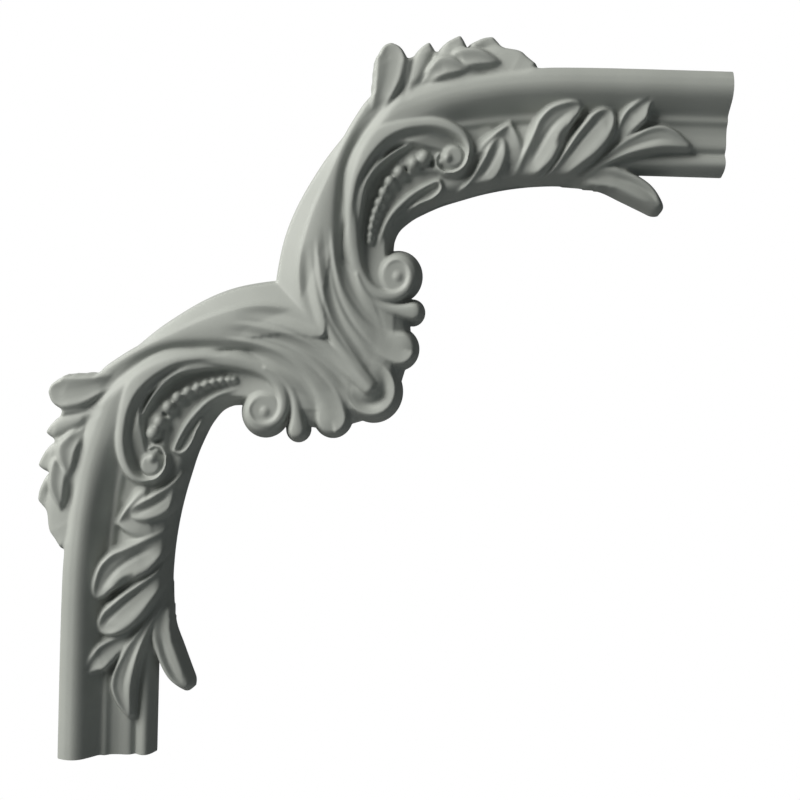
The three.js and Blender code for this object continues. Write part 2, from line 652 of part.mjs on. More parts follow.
const castResin = new THREE.MeshStandardMaterial({ color: 0xb4b7b1, roughness: 0.55, metalness: 0 });
const corner = new THREE.Mesh(casting(), castResin);
corner.name = 'moulding_corner';
corner.rotation.x = Math.PI / 2;

const part = new THREE.Group();
part.add(corner);

export default part;
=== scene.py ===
import bpy
import numpy as np
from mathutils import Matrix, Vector


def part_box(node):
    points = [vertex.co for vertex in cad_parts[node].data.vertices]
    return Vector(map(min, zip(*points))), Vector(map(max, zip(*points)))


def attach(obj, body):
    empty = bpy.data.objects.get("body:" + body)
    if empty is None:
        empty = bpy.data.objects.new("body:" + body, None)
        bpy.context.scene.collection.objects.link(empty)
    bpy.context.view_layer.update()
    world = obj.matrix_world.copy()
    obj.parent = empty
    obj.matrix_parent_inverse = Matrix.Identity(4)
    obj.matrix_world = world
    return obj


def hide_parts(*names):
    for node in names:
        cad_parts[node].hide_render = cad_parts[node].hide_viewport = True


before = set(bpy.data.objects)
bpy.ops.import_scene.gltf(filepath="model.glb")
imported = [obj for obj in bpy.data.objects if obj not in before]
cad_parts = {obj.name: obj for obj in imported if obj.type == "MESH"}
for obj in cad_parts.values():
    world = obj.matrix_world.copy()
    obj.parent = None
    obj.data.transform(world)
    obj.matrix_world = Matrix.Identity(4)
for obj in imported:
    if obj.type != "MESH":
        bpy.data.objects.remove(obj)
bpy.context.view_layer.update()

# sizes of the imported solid, which the relief follows
ORIGIN_SHARE = 0.40                    # the origin's distance along a and b
low_corner, high_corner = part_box("moulding_corner")
REACH = -low_corner[2] / (1 - ORIGIN_SHARE)
ACROSS_SHARE = high_corner[0] / ((1 - ORIGIN_SHARE) * REACH)
PROJECTION = -low_corner[1]            # back to crest
MOULDING_WIDTH = 0.1473                # of a straight arm, as a share of the reach
NO_SURFACE = -0.2                      # the height where nothing stands
EDGE_HEIGHT = 0.05                     # of the thin foot where a wall meets the back

# how finely the relief is worked out
CELLS_PER_REACH = 640
MOST_FACES = 190_000
GRID_SPAN = 1.09                       # from the cut end past the highest leaf tip
HALF_DEPTH = 0.56                      # how far down the upper arm's half of the relief reaches
STEPS_BETWEEN = 14                     # of a feature's line, between two of its places
LEAF_STEPS = 12                        # the same for the edges of a leaf
SOFTENING = 0.0018                     # how far the casting's edges are rounded, a share of the reach
CREASE_ANGLE = 65                      # degrees between two faces, above which their edge stays sharp

# walls and fillets
LEAN = 0.009                           # run of a wall from its foot to its full height
MOULDING_LEAN = 0.6 * LEAN
LEAF_LEAN = 0.8 * LEAN
ROUND_SHOULDER = 2.2                   # how round a wall is at its top; 1 is a straight slope
BLEND = 0.02                           # of the fillet where features meet, a share of the projection
LEAF_ROOT = 0.25                       # share of its length over which a leaf rises from the ground
TRIM_REACH = 0.02                      # how far beside a trimmed edge the trim is worked out
TRIM_FOOT = 0.12                       # share of its height that the trimmed wall has at its foot
GROOVE_REACH = 2.2                     # widths beside its line over which a groove is worked out

# section of the moulding: share of its width from the outer edge, share of the projection
SECTION = [(0.0, 0.74), (0.05, 0.88), (0.12, 0.97), (0.19, 1.0), (0.24, 0.98), (0.29, 0.92),
           (0.34, 0.80), (0.39, 0.65), (0.43, 0.53), (0.455, 0.50), (0.48, 0.55), (0.505, 0.53),
           (0.54, 0.44), (0.62, 0.42), (0.72, 0.44), (0.76, 0.42), (0.795, 0.30), (0.835, 0.42),
           (0.88, 0.46), (0.92, 0.44), (0.96, 0.32), (1.0, 0.12)]
SECTION_STEPS = 400                    # places across at which the rounded section is worked out
SECTION_ROUNDING = 25                  # of those steps, over which a corner is rounded
CREST_FROM_EDGE = 0.028
CREST_LINE = [(1.06, CREST_FROM_EDGE), (.80, CREST_FROM_EDGE), (.70, .031), (.63, .038),
              (.575, .048), (.53, .062), (.49, .078), (.462, .102), (.445, .130), (.435, .16),
              (.430, .20), (.430, .25), (.436, .29)]
CREST_STEPS = 90
CREST_END = 0.999                      # share of the crest line past which no moulding stands
# along the crest line: how far the inner side has filled out, its width there, and the height
BEND = [0, 0, 0, 0, 0, 0, .3, .9, 1, 1, 1]
BEND_WIDTH = [.3, .3, .3, .3, .3, .2, .13, .08, .045, .030, .020, .015]
BEND_HEIGHT = [1, 1, 1, 1, 1, 1, .96, .90, .87, .86, .84, .80, .5]

# the inner edge of the body, from the shell's notch to the drop-shaped leaf
INNER_EDGE = [(.490, .300), (.4945, .268), (.4965, .252), (.504, .237), (.519, .224), (.534, .215),
              (.565, .201), (.596, .191), (.627, .182), (.658, .175), (.689, .170), (.720, .167),
              (.751, .166), (.782, .1685)]
UNDER_LEAVES = 5                       # the first of those places that the leaves are trimmed to

# the row of pearls, and what each pearl keeps of the radius and the top of the one before
PEARL_COUNT = 11
PEARL_RADIUS = .0110
PEARL_TOP = .82
RADIUS_KEPT = .935
TOP_KEPT = .98

FINE_LINE = .0032                      # width of the fine lines in the flutes and leaves

# sections across a leaf, from one edge to the other: shares of its height
GOUGE = [.86, 1.0, .95, .895, .895, .915, .94, .97, .97, .88]
SCOOP = [.86, 1.0, .93, .86, .87, .90, .92, .88]
SPOON = [.95, 1.0, .98, .955, .955, .97, 1.0, .93]
CONVEX = [.84, .96, 1.0, 1.0, .94, .82]
PAD = [.92, 1.0, 1.0, .98, .98, 1.0, .92]
RISING = [.85, .95, 1.0, 1.03, 1.05]


# Curves

def run(values, count):
    """A smooth run through the values or places, in count even steps: a Catmull-Rom curve."""
    given = np.asarray(values, float)
    given = given.reshape(len(given), -1)
    if len(given) == 1:
        return np.repeat(given, count + 1, axis=0)
    last = len(given) - 1
    place = np.linspace(0, last, count + 1)
    k = np.minimum(place.astype(int), last - 1)
    t = (place - k)[:, None]
    before, start, end, after = (given[np.clip(k + step, 0, last)] for step in (-1, 0, 1, 2))
    return 0.5 * (2 * start + (end - before) * t + (2 * before - 5 * start + 4 * end - after) * t ** 2
                  + (3 * start - before - 3 * end + after) * t ** 3)


def line_through(places, steps=STEPS_BETWEEN):
    """A smooth line through the places, with so many steps between neighbours."""
    return run(places, steps * (len(places) - 1))


def along(values, share):
    """The smooth run through the values, read at each share of its length."""
    steps = 40
    return np.interp(share, np.linspace(0, 1, steps + 1), run(np.atleast_1d(values), steps)[:, 0])


def nearest(line, a, b):
    """The nearest place on a line: its share of the length, the distance, and the side."""
    gap = np.full(a.shape, np.inf)
    share = np.zeros(a.shape)
    side = np.ones(a.shape)
    steps = np.diff(line, axis=0)
    lengths = np.hypot(steps[:, 0], steps[:, 1])
    starts = np.cumsum(lengths) - lengths
    for (x, y), (dx, dy), length, start in zip(line, steps, lengths, starts):
        px, py = a - x, b - y
        t = np.clip((px * dx + py * dy) / length ** 2, 0, 1)
        squared = (px - t * dx) ** 2 + (py - t * dy) ** 2
        closer = squared < gap
        gap[closer] = squared[closer]
        share[closer] = ((start + t * length) / lengths.sum())[closer]
        side[closer] = np.where(dy * px - dx * py >= 0, 1.0, -1.0)[closer]
    return share, np.sqrt(gap), side


def smooth(share):
    """A soft step from 0 to 1."""
    share = np.clip(share, 0, 1)
    return share * share * (3 - 2 * share)


def shoulder(inside, lean):
    """The share of its full height that a leaning, round-shouldered wall has reached."""
    return 1 - (1 - np.clip(inside / lean, 0, 1)) ** ROUND_SHOULDER


# The relief

class Relief:
    """Heights and distances inside the outline on a grid, to which features are joined."""

    MARGIN = 0.012                     # how far outside a feature its distance is still known

    def __init__(self, a, b):
        self.a, self.b = a, b
        self.height = np.full(a.shape, NO_SURFACE)
        self.inside = np.full(a.shape, -self.MARGIN)

    def window(self, places, reach):
        """Which of the grid's places lie near the given ones, within the reach and the margin."""
        low = np.min(places, axis=0) - reach - self.MARGIN
        high = np.max(places, axis=0) + reach + self.MARGIN
        return (self.a >= low[0]) & (self.a <= high[0]) & (self.b >= low[1]) & (self.b <= high[1])

    def join(self, where, height, inside, blend):
        """Keeps the higher surface, with a fillet of the blend's size where two meet."""
        old = self.height[where]
        new = np.where(inside > 0, height, NO_SURFACE)
        high = np.maximum(old, new)
        if blend > 0:
            over = np.clip(blend - np.abs(old - new), 0, None) * (np.minimum(old, new) > NO_SURFACE / 2)
            high = high + over ** 2 / (4 * blend)
        self.height[where] = high
        self.inside[where] = np.maximum(self.inside[where], inside)

    def band(self, places, left, right, height, fall_left, fall_right, power=2.0, lean=LEAN,
             blend=BLEND):
        """A roll along a line, with its own width and share of fall on each side."""
        line = line_through(places)
        where = self.window(line, max(np.max(left), np.max(right)))
        share, distance, side = nearest(line, self.a[where], self.b[where])
        half = np.where(side > 0, along(left, share), along(right, share))
        fall = np.where(side > 0, along(fall_left, share), along(fall_right, share))
        crown = along(height, share) * (1 - fall * np.minimum(distance / half, 1) ** power)
        inside = half - distance
        self.join(where, crown * shoulder(inside, lean), inside, blend)

    def border(self, edge, width, height, across, lean):
        """A surface on the left of an edge, with its own width and section across."""
        line = line_through(edge)
        where = self.window(line, np.max(width))
        share, distance, side = nearest(line, self.a[where], self.b[where])
        wide = along(width, share)
        surface = along(height, share) * along(across, np.minimum(distance / wide, 1))
        inside = np.where(side > 0, np.minimum(distance, wide - distance), -distance)
        covered = shoulder(distance, lean) * (side > 0) * (distance < wide)
        self.join(where, np.where(covered > 0, surface * covered, NO_SURFACE), inside, 0)

    def disc(self, centre, radius, height, lean):
        """A round flat-topped lobe with a leaning wall."""
        inside = radius - np.hypot(self.a - centre[0], self.b - centre[1])
        where = inside > -self.MARGIN
        inside = inside[where]
        self.join(where, height * shoulder(inside, lean), inside, BLEND)

    def blade(self, left, right, height, across, lean=LEAF_LEAN):
        """A leaf laid over what is there, between two edges apart at its root that meet at its tip."""
        one, two = line_through(left, LEAF_STEPS), line_through(right, LEAF_STEPS)
        where = self.window(np.vstack([one, two]), 0.0)
        share1, gap1, side1 = nearest(one, self.a[where], self.b[where])
        share2, gap2, side2 = nearest(two, self.a[where], self.b[where])
        over = gap1 / (gap1 + gap2 + 1e-9)    # the last number is for the tip, where both gaps are 0
        share = share1 + (share2 - share1) * over
        within = (side1 < 0) & (side2 > 0) & ((share1 > 0) | (share2 > 0))
        inside = np.where(within, 1, -1) * np.minimum(gap1, gap2)
        surface = along(height, share) * along(across, over)
        risen = shoulder(inside, lean) * smooth(share / LEAF_ROOT)
        old = self.height[where]
        laid = np.maximum(old, 0) + (surface - np.maximum(old, 0)) * risen
        self.height[where] = np.where(within, laid, old)
        self.inside[where] = np.maximum(self.inside[where], inside)

    def trim(self, edge, lean):
        """Cuts everything off on the right of an edge, with a leaning wall."""
        line = line_through(edge)
        where = self.window(line, TRIM_REACH)
        share, distance, side = nearest(line, self.a[where], self.b[where])
        beside = (share > 0) & (share < 1)
        old = self.height[where]
        risen = TRIM_FOOT + (1 - TRIM_FOOT) * np.clip(distance / lean, 0, 1)
        cut = np.where(side > 0, old * risen, NO_SURFACE)
        self.height[where] = np.where(beside & (old > 0), cut, old)
        within = self.inside[where]
        self.inside[where] = np.where(beside, np.minimum(within, side * distance), within)

    def pearl(self, centre, radius, top):
        """A half ball whose crown is at the top's height."""
        distance = np.hypot(self.a - centre[0], self.b - centre[1])
        where = distance < radius + self.MARGIN
        distance = distance[where]
        fall = 1 - np.sqrt(1 - np.minimum(distance / radius, 1) ** 2)
        self.join(where, top - fall * radius * REACH / PROJECTION, radius - distance, 0)

    def groove(self, places, width, depth):
        """Sinks a soft furrow along a line."""
        line = line_through(places)
        where = self.window(line, GROOVE_REACH * np.max(width))
        share, distance, _ = nearest(line, self.a[where], self.b[where])
        self.height[where] -= along(depth, share) * np.exp(-(distance / along(width, share)) ** 2)


def rounded_section():
    """The moulding's section as shares of its width and heights, with its corners rounded."""
    ends, heights = zip(*SECTION)
    shares = np.linspace(0, 1, SECTION_STEPS)
    weights = np.hanning(SECTION_ROUNDING)
    padded = np.pad(np.interp(shares, ends, heights), SECTION_ROUNDING // 2, mode="edge")
    return shares, np.convolve(padded, weights / weights.sum(), "valid")


def moulding(relief):
    """The straight moulding, which fills out and narrows where it bends down into the shell."""
    share, distance, side = nearest(run(CREST_LINE, CREST_STEPS), relief.a, relief.b)
    across = (side * distance + CREST_FROM_EDGE) / MOULDING_WIDTH
    straight = np.interp(across, *rounded_section())
    bent = along(BEND, share) * (side > 0)
    inside = np.minimum(np.minimum(across, 1 - across) * MOULDING_WIDTH,
                        along(BEND_WIDTH, share) - side * distance)
    height = (straight + (1 - straight) * bent) * along(BEND_HEIGHT, share)
    height = height * shoulder(inside, MOULDING_LEAN)
    inside = np.where(share < CREST_END, inside, -relief.MARGIN)
    everywhere = np.ones(relief.a.shape, bool)
    relief.join(everywhere, height, inside, 0)


def ground(relief):
    """The ground under the carving, out to the inner edge and the lobes of the shell."""
    relief.border(INNER_EDGE, .06, [.50, .50, .50, .50, .44], [.12, .74, 1, 1, 1, 1, 1], lean=.003)
    # the floor of the channel, from the C-scroll's eye down to the shell
    relief.band([(.620, .110), (.570, .115), (.525, .118), (.49, .13), (.465, .155),
                 (.455, .20), (.46, .26), (.465, .32), (.47, .37), (.46, .41)],
                left=[.030, .030, .03, .04, .04, .03, .03, .035, .04], right=.035,
                height=[.48, .58, .60, .56, .50, .48, .56, .68, .72, .76],
                fall_left=0, fall_right=0, blend=0)
    # the swelling under the leaves
    relief.band([(.600, .135), (.650, .128), (.700, .120), (.750, .115), (.800, .112), (.840, .110)],
                left=.040, right=.040, height=[.50, .60, .66, .66, .60, .48],
                fall_left=.35, fall_right=.35, blend=.06)
    # the body under the strip and the main groove
    relief.band([(.530, .050), (.475, .055), (.445, .085), (.415, .14), (.395, .20), (.385, .26),
                 (.385, .31), (.40, .36), (.43, .40)],
                left=[.020, .016, .022, .032, .034, .036, .04, .04, .04],
                right=[.026, .020, .018, .02, .03, .04, .045, .05],
                height=[.74, .72, .74, .80, .86, .92, .94, .92, .84],
                fall_left=.1, fall_right=.1, blend=.04)
    # the foot of the cluster
    relief.band([(.475, .035), (.515, .012), (.560, .002), (.620, -.002), (.660, .005)],
                left=.022, right=[.016, .030, .045, .050, .050], height=[.72, .76, .80, .80, .78],
                fall_left=.1, fall_right=.1, blend=.06)


def strip(relief):
    """The smooth strip from the spoon-shaped leaf down to the cusp."""
    outer_edge = [(.4545, .030), (.4515, .052), (.438, .074), (.408, .109), (.379, .147),
                  (.347, .200), (.327, .248), (.316, .300), (.312, .345), (.312, .38)]
    relief.border(outer_edge, width=[.036, .028, .023, .026, .036, .058, .076, .080, .080, .084],
                  height=[.76, .76, .77, .79, .82, .87, .93, .98, 1.0, 1.0],
                  across=[.50, .58, .67, .76, .84, .91, .97, 1.0, 1.0], lean=.006)


def flutes(relief):
    """The flutes that run from the strip to the lobes of the shell."""
    relief.disc((.4700, .4700), .0455, .80, lean=.014)
    # the ground that the flutes share, and the ground between the small lobes
    relief.band([(.380, .25), (.390, .30), (.410, .35), (.440, .40), (.465, .44)],
                left=[.02, .045, .06, .055, .04], right=[.015, .03, .045, .05, .05],
                height=[.72, .90, .92, .88, .80], fall_left=.15, fall_right=.15, blend=.05)
    relief.band([(.455, .335), (.475, .365), (.480, .400), (.470, .440)],
                left=.045, right=.045, height=.78, fall_left=.45, fall_right=.45, blend=.06)
    # the flute to the middle lobe
    relief.band([(.380, .22), (.381, .27), (.386, .315), (.393, .35), (.404, .382), (.422, .412),
                 (.443, .438), (.462, .462)],
                left=[.008, .009, .010, .012, .014, .018, .018, .018],
                right=[.012, .012, .014, .016, .018, .020],
                height=[.72, .90, .98, 1.0, .98, .95, .95, .96], fall_left=.10, fall_right=.12, blend=.05)
    # the flute that ends in the medium lobe
    medium_half = [.012, .014, .016, .018, .022, .024, .027, .031]
    relief.band([(.399, .215), (.402, .255), (.408, .295), (.420, .33), (.436, .358), (.454, .380),
                 (.473, .396), (.492, .404), (.508, .408)],
                left=[.010] + medium_half, right=[.012] + medium_half,
                height=[.72, .88, .95, .94, .90, .86, .82, .80, .80],
                fall_left=.12, fall_right=[.15, .15, .12, .08, 0, -.06, -.10], lean=.011, blend=.06)
    # the flute that ends in the small lobe
    small_half = [.010, .012, .013, .014, .016, .0195]
    relief.band([(.440, .305), (.449, .325), (.464, .340), (.485, .350), (.508, .354), (.527, .355)],
                left=small_half, right=small_half, height=[.88, .86, .82, .80, .79, .79],
                fall_left=.12, fall_right=.12, lean=.010, blend=.06)
    # the furrow between the first two flutes, the fold at the cusp, and the fine lines
    relief.groove([(.388, .235), (.391, .27), (.396, .305), (.404, .34), (.416, .37), (.433, .395),
                   (.454, .42), (.475, .437)], width=.005, depth=[0, .03, .05, .05, .05, .05, .05, 0])
    relief.groove([(.363, .26), (.365, .31), (.370, .34), (.378, .365), (.3865, .3865)],
                  width=[.008, .009, .009, .008], depth=[0, .05, .08, .07, .03])
    for line in ([(.372, .255), (.380, .310), (.392, .352), (.412, .388), (.440, .422), (.466, .446)],
                 [(.395, .240), (.402, .290), (.413, .335), (.434, .372), (.462, .402), (.486, .420)],
                 [(.405, .250), (.412, .290), (.424, .325), (.444, .355), (.468, .376), (.492, .388)],
                 [(.400, .410), (.422, .434), (.444, .456)],
                 [(.447, .308), (.462, .330), (.482, .343), (.508, .346), (.526, .347)]):
        relief.groove(line, FINE_LINE, depth=[0, .035, .04, .035, 0])


def shell_scroll(relief):
    """The scroll beside the channel that rolls up over the shell."""
    relief.disc((.5035, .3035), .0375, .74, lean=.014)
    relief.band([(.430, .21), (.430, .24), (.433, .27), (.441, .297), (.456, .318), (.475, .330),
                 (.496, .332), (.513, .323), (.5195, .307), (.515, .291), (.501, .283), (.488, .289),
                 (.484, .301), (.490, .312)],
                left=[.012, .016, .018, .018, .017, .015, .013, .012, .011, .010, .009, .008, .007, .006],
                right=[.012, .015, .019, .023, .022, .020, .017, .016, .016, .015, .013, .010, .008, .006],
                height=[.86, .87, .87, .86, .85, .84, .83, .82, .81, .80, .79, .78, .77, .76],
                fall_left=.12, fall_right=.12, blend=.04)
    relief.pearl((.502, .306), .013, .78)


def c_scroll(relief):
    """The scroll over the arm, with its eye and the thin roll inside it."""
    relief.disc((.582, .135), .024, .78, lean=.012)
    relief.disc((.562, .142), .012, .62, lean=.010)
    relief.band([(.428, .25), (.430, .21), (.437, .175), (.449, .150), (.463, .130), (.480, .1135),
                 (.500, .102), (.522, .0955), (.550, .093), (.577, .098), (.596, .109), (.604, .126),
                 (.600, .144), (.588, .155), (.571, .1575), (.5585, .150), (.5555, .139), (.561, .130)],
                left=[.014, .017, .020, .027, .032, .034, .032, .026, .020,
                      .018, .018, .018, .016, .013, .011, .009, .008, .007],
                right=[.012, .012, .011, .010, .010, .010, .010, .010, .011,
                       .012, .012, .012, .012, .010, .009, .008, .007, .006],
                height=[.85, .87, .90, .92, .94, .95, .96, .95, .94,
                        .92, .91, .90, .89, .87, .85, .83, .81, .79],
                fall_left=[.06, .07, .08, .09, .10, .10, .12, .14, .18, .2],
                fall_right=[.10, .12, .12, .12, .12, .15, .2], power=1.5, lean=.010, blend=.03)
    relief.pearl((.572, .1375), .0075, .86)
    # the thin roll, and the line between it and the scroll
    relief.band([(.436, .225), (.440, .200), (.450, .175), (.464, .155), (.480, .140), (.498, .128),
                 (.517, .1185), (.537, .113), (.555, .111)],
                left=[.009, .009, .010, .010, .010, .009, .008], right=[.011, .011, .011, .010, .009, .008],
                height=[.80, .85, .88, .88, .86, .83, .80, .76, .70],
                fall_left=.10, fall_right=.20, lean=.012)
    relief.groove([(.440, .185), (.447, .168), (.458, .150), (.473, .1335), (.491, .1195),
                   (.511, .110), (.533, .105), (.553, .104)],
                  width=.0045, depth=[0, .05, .08, .09, .09, .08, .05, .02])


def main_groove(relief):
    """The furrow between the strip and the scroll."""
    relief.groove([(.500, .040), (.479, .062), (.459, .086), (.441, .110), (.428, .135), (.419, .163),
                   (.4145, .195), (.413, .23), (.416, .265), (.424, .300), (.437, .330), (.452, .353),
                   (.470, .370), (.49, .383)],
                  width=[.006, .008, .008, .008, .007, .007, .008, .008, .008, .008],
                  depth=[.04, .08, .11, .13, .14, .15, .14, .11, .10, .10, .09, .08, .06, .03])


def pearls(relief):
    """Pearls of falling size on a ledge inside the channel."""
    relief.band([(.560, .153), (.530, .154), (.508, .165), (.493, .180), (.482, .197), (.474, .216),
                 (.468, .238), (.464, .265)],
                left=.010, right=.012, height=[.60, .59, .57, .55, .53, .51, .49, .48],
                fall_left=.2, fall_right=.2)
    row = run([(.537, .137), (.492, .165), (.471, .2016), (.461, .232), (.4585, .257)],
              PEARL_COUNT - 1)
    for k, centre in enumerate(row):
        relief.pearl(centre, radius=PEARL_RADIUS * RADIUS_KEPT ** k, top=PEARL_TOP * TOP_KEPT ** k)


def inner_rim(relief):
    """The roll along the inner edge, with its small hook."""
    relief.band([(.470, .290), (.471, .265), (.478, .240), (.488, .221), (.501, .206), (.516, .193),
                 (.534, .181), (.550, .172), (.561, .168)],
                left=[.008, .009, .010, .011, .011, .010, .009], right=[.010, .011, .011, .011, .010],
                height=[.50, .54, .57, .60, .62, .63, .64, .65, .65], fall_left=.2, fall_right=.2)
    relief.band([(.561, .168), (.565, .178), (.559, .188), (.548, .196), (.534, .201), (.518, .208)],
                left=.009, right=.009, height=[.65, .65, .63, .61, .58, .52], fall_left=.2, fall_right=.2)
    relief.groove([(.520, .196), (.533, .188), (.545, .180)], width=.005, depth=[.03, .06, .03])


def arc(middle, radius, first=-85, last=45, places=9):
    """Places on an arc round a middle on the diagonal, from the first angle to the last in degrees."""
    turned = np.radians(np.linspace(first, last, places))
    return np.stack([middle + radius * np.cos(turned), middle + radius * np.sin(turned)], axis=-1)


def centre_lobe(relief):
    """The middle lobe of the shell: a knob in a hollow with a curled rim."""
    relief.band(arc(.466, .036), left=.009, right=.009, height=[.80, .82, .83, .83],
                fall_left=.15, fall_right=.15)
    relief.groove(arc(.463, .024), width=.007, depth=[.02, .05, .10, .13])
    relief.band([(.41, .41), (.435, .435), (.452, .452), (.464, .464)], left=.014, right=.014,
                height=[.88, .93, .98, 1.0], fall_left=.25, fall_right=.25, blend=.06)


def leaves(relief):
    """The leaves along the inner side of the arm, from the scroll to the cut end."""
    relief.blade([(.600, .145), (.615, .115), (.635, .099), (.652, .088), (.669, .079)],
                 [(.678, .165), (.692, .145), (.691, .122), (.684, .104), (.677, .091), (.669, .079)],
                 [.55, .70, .80, .82], SCOOP)
    relief.blade([(.572, .190), (.592, .178), (.608, .160), (.620, .138), (.633, .118),
                  (.644, .108), (.654, .105)],
                 [(.622, .184), (.645, .172), (.659, .154), (.665, .134), (.664, .119),
                  (.660, .109), (.654, .105)],
                 [.58, .70, .80, .84], GOUGE)
    relief.blade([(.664, .170), (.676, .147), (.685, .122), (.696, .094), (.704, .076),
                  (.722, .059), (.748, .051), (.768, .052), (.779, .060)],
                 [(.690, .175), (.715, .158), (.735, .140), (.745, .122), (.752, .105),
                  (.762, .088), (.772, .074), (.779, .060)],
                 [.58, .72, .82, .90, .95, .95, .90], GOUGE)
    relief.blade([(.695, .172), (.728, .147), (.747, .120), (.760, .098), (.775, .078),
                  (.790, .064), (.808, .058), (.825, .061)],
                 [(.742, .172), (.775, .148), (.800, .130), (.817, .112), (.827, .092),
                  (.829, .075), (.825, .061)],
                 [.54, .68, .80, .87, .90, .90, .84], GOUGE)
    relief.blade([(.800, .130), (.820, .103), (.828, .077), (.838, .059), (.855, .0485),
                  (.870, .0455), (.878, .0455)],
                 [(.830, .120), (.850, .101), (.868, .086), (.877, .076), (.880, .062),
                  (.8805, .050), (.878, .0455)],
                 [.56, .68, .80, .88, .88], GOUGE)
    relief.blade([(.755, .162), (.795, .137), (.825, .112), (.850, .095), (.875, .082),
                  (.900, .078), (.922, .086), (.938, .098), (.947, .108), (.944, .1165)],
                 [(.765, .172), (.800, .150), (.830, .135), (.860, .126), (.900, .119),
                  (.930, .1175), (.944, .1165)],
                 [.50, .62, .74, .76, .74, .66], GOUGE)
    relief.trim(INNER_EDGE[UNDER_LEAVES:], lean=.0125)
    # the drop-shaped leaf, which stands out past the inner edge
    relief.blade([(.765, .160), (.795, .145), (.820, .137), (.848, .140), (.872, .149),
                  (.892, .162), (.905, .178), (.911, .193), (.903, .2055)],
                 [(.752, .167), (.782, .1685), (.813, .173), (.845, .186), (.876, .199),
                  (.892, .2055), (.903, .2055)],
                 [.42, .52, .60, .62, .60, .54], SCOOP, lean=.012)
    # the notch in the third leaf, and the leaves' fine lines
    relief.groove([(.741, .113), (.747, .102), (.753, .092)], width=.004, depth=[.05, .12, .05])
    for line in ([(.698, .145), (.712, .115), (.730, .088), (.752, .070), (.768, .064)],
                 [(.745, .142), (.768, .113), (.790, .088), (.808, .072), (.820, .070)],
                 [(.622, .165), (.638, .142), (.648, .122), (.654, .110)],
                 [(.800, .143), (.845, .117), (.890, .102), (.925, .104)],
                 [(.820, .152), (.855, .162), (.885, .178), (.900, .196)]):
        relief.groove(line, FINE_LINE, depth=[0, .05, .05, .04, 0])


def cluster(relief):
    """The spoon-shaped leaf and the leaves that stand over the outer edge."""
    relief.blade([(.590, .005), (.600, -.028), (.612, -.037), (.625, -.042), (.639, -.0436)],
                 [(.650, .010), (.660, -.010), (.654, -.028), (.639, -.0436)],
                 [.72, .70, .66, .60], CONVEX)
    relief.blade([(.545, .010), (.552, -.015), (.562, -.030), (.575, -.0385), (.589, -.0445)],
                 [(.590, .010), (.600, -.012), (.599, -.030), (.589, -.0445)],
                 [.76, .74, .70, .64], CONVEX)
    relief.blade([(.498, .060), (.508, .030), (.513, .000), (.520, -.017), (.530, -.027), (.542, -.0335)],
                 [(.525, .040), (.541, .018), (.549, .000), (.552, -.018), (.542, -.0335)],
                 [.76, .76, .74, .68], CONVEX)
    relief.blade([(.452, .080), (.4545, .035), (.4555, .010), (.461, -.011), (.470, -.024), (.483, -.0295)],
                 [(.470, .085), (.494, .050), (.504, .030), (.509, .008), (.508, -.010),
                  (.498, -.023), (.483, -.0295)],
                 [.78, .82, .82, .80], SPOON)
    relief.blade([(.600, -.020), (.640, -.028), (.668, -.026), (.683, -.022), (.694, -.013), (.712, .001)],
                 [(.600, .025), (.650, .020), (.690, .015), (.712, .001)],
                 [.66, .72, .78, .82], RISING)
    # the second tier of rounded leaves
    relief.blade([(.565, .004), (.578, -.016), (.600, -.0215), (.620, -.0195), (.638, -.010), (.652, .001)],
                 [(.580, .018), (.610, .012), (.635, .0085), (.652, .001)],
                 [.82, .88, .89, .86], PAD)
    relief.blade([(.525, .028), (.542, .004), (.556, -.008), (.574, -.0075), (.590, .001), (.605, .013)],
                 [(.540, .036), (.565, .028), (.585, .022), (.605, .013)],
                 [.82, .89, .91, .88], PAD)


FEATURES = (moulding, ground, strip, flutes, shell_scroll, c_scroll, main_groove, pearls, inner_rim,
            centre_lobe, leaves, cluster)


def carved(a, b):
    """Heights and insides of the whole relief at the places (a, b) of one half."""
    relief = Relief(a, b)
    for feature in FEATURES:
        feature(relief)
    return relief.height, relief.inside


# The mesh

def softened(heights, spread):
    """Heights blurred by a bell curve, spread in cells, as a cast rounds its carving."""
    span = int(np.ceil(3 * spread))    # beyond it the bell is as good as flat
    weights = np.exp(-0.5 * (np.arange(-span, span + 1) / spread) ** 2)
    weights /= weights.sum()
    for _ in range(2):                 # along one axis, then along the other
        padded = np.pad(heights, ((span, span), (0, 0)), mode="edge")
        heights = sum(w * padded[k:k + len(heights)] for k, w in enumerate(weights)).T
    return heights


def relief_grid():
    """Grid lines in shares of the reach, with the heights and insides at their crossings."""
    cell = 1 / CELLS_PER_REACH
    count = int(GRID_SPAN * CELLS_PER_REACH)
    lines = 1 + cell - cell * np.arange(count)[::-1]
    a, b = np.meshgrid(lines, lines, indexing="ij")
    half = (a >= b) & (b < HALF_DEPTH)
    heights = np.full(a.shape, NO_SURFACE)
    insides = np.full(a.shape, -Relief.MARGIN)
    heights[half], insides[half] = carved(a[half], b[half])
    heights, insides = np.maximum(heights, heights.T), np.maximum(insides, insides.T)
    heights = softened(np.clip(heights, EDGE_HEIGHT, 1), SOFTENING * CELLS_PER_REACH)
    return lines, heights, np.minimum(insides, np.minimum(1 - a, 1 - b))


def place(a, b, height):
    """The point in metres for a place on the relief."""
    x = (a - ORIGIN_SHARE) * REACH * ACROSS_SHARE
    return np.stack([x, -height * PROJECTION, (ORIGIN_SHARE - b) * REACH], axis=-1)


